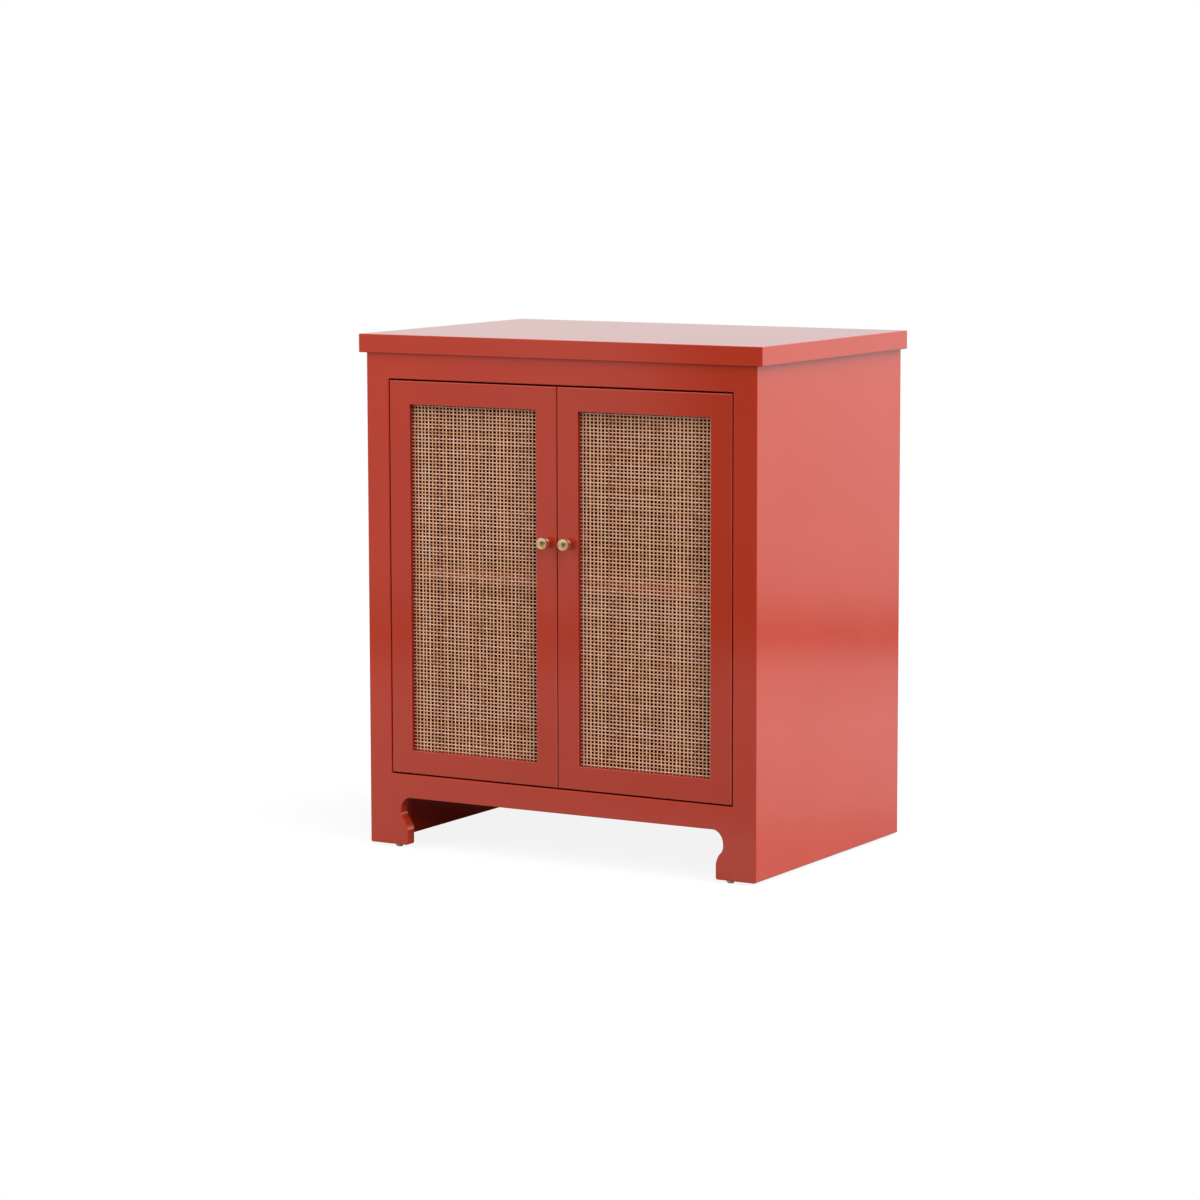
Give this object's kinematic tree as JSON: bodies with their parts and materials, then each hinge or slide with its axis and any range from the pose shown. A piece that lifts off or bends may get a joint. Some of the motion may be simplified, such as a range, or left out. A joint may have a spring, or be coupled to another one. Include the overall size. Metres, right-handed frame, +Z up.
{
  "type": "two-door cabinet",
  "caption": "Free-standing lacquered cabinet with a slab top, inset doors with open-weave cane panels, round brass knobs, a shelf inside and a scalloped apron with bracket feet.",
  "frame": {"origin": "middle of the bounding box's bottom face, on the floor", "axes": "+X to the right as seen from the front, +Y from front to back, +Z up"},
  "size_m": [0.762, 0.531, 0.864],
  "materials": {
    "lacquer": "gloss coral-red lacquer over wood board",
    "bare_wood": "bare planed wood",
    "cane": "natural woven cane",
    "brass": "polished",
    "dark_bronze": "dark bronze plated, satin",
    "zinc_steel": "zinc plated",
    "magnet": "matt",
    "catch_plastic": "matt",
    "glide_plastic": "matt"
  },
  "bodies": {
    "cabinet": {"apron": "lacquer", "back_panel": "lacquer", "back_panel_screws": "zinc_steel", "back_stretcher": "lacquer", "bottom_panel": "lacquer", "catch_block": "lacquer", "catch_body": "catch_plastic", "catch_magnets": "magnet", "catch_screws": "zinc_steel", "corner_blocks": "lacquer", "frame_plate_screws": "dark_bronze", "front_stretcher": "lacquer", "glides": "glide_plastic", "left_foot_bracket": "lacquer", "left_frame_pivot_plates": "dark_bronze", "left_pivot_pins": "dark_bronze", "left_pivot_washers": "dark_bronze", "left_side_panel": "lacquer", "left_stile": "lacquer", "right_foot_bracket": "lacquer", "right_frame_pivot_plates": "dark_bronze", "right_pivot_pins": "dark_bronze", "right_pivot_washers": "dark_bronze", "right_side_panel": "lacquer", "right_stile": "lacquer", "shelf_pins": "zinc_steel", "slab_screws": "zinc_steel", "stretcher_dowels": "bare_wood", "top_rail": "lacquer", "top_slab": "lacquer"},
    "left_door": {"left_cane_panel": "cane", "left_cane_strips": "lacquer", "left_door_bottom_rail": "lacquer", "left_door_hinge_stile": "lacquer", "left_door_meeting_stile": "lacquer", "left_door_pivot_plates": "dark_bronze", "left_door_plate_screws": "dark_bronze", "left_door_top_rail": "lacquer", "left_knob": "brass", "left_knob_rosette": "brass", "left_knob_screw": "zinc_steel", "left_strike_plate": "zinc_steel", "left_strike_screw": "zinc_steel", "left_strip_brads": "zinc_steel"},
    "right_door": {"right_cane_panel": "cane", "right_cane_strips": "lacquer", "right_door_bottom_rail": "lacquer", "right_door_hinge_stile": "lacquer", "right_door_meeting_stile": "lacquer", "right_door_pivot_plates": "dark_bronze", "right_door_plate_screws": "dark_bronze", "right_door_top_rail": "lacquer", "right_knob": "brass", "right_knob_rosette": "brass", "right_knob_screw": "zinc_steel", "right_strike_plate": "zinc_steel", "right_strike_screw": "zinc_steel", "right_strip_brads": "zinc_steel"},
    "shelf": {"shelf": "lacquer"}
  },
  "joints": [
    {"name": "left_door_hinge", "type": "hinge", "parent": "cabinet", "child": "left_door", "pos_m": [-0.31202, -0.24, 0.459], "axis": [0, 0, -1], "range_deg": [0, 125]},
    {"name": "right_door_hinge", "type": "hinge", "parent": "cabinet", "child": "right_door", "pos_m": [0.31202, -0.24, 0.459], "axis": [0, 0, 1], "range_deg": [0, 125]},
    {"name": "shelf_lift", "type": "slide", "parent": "cabinet", "child": "shelf", "axis": [0, 0, 1], "range_m": [0, 0.032]}
  ]
}
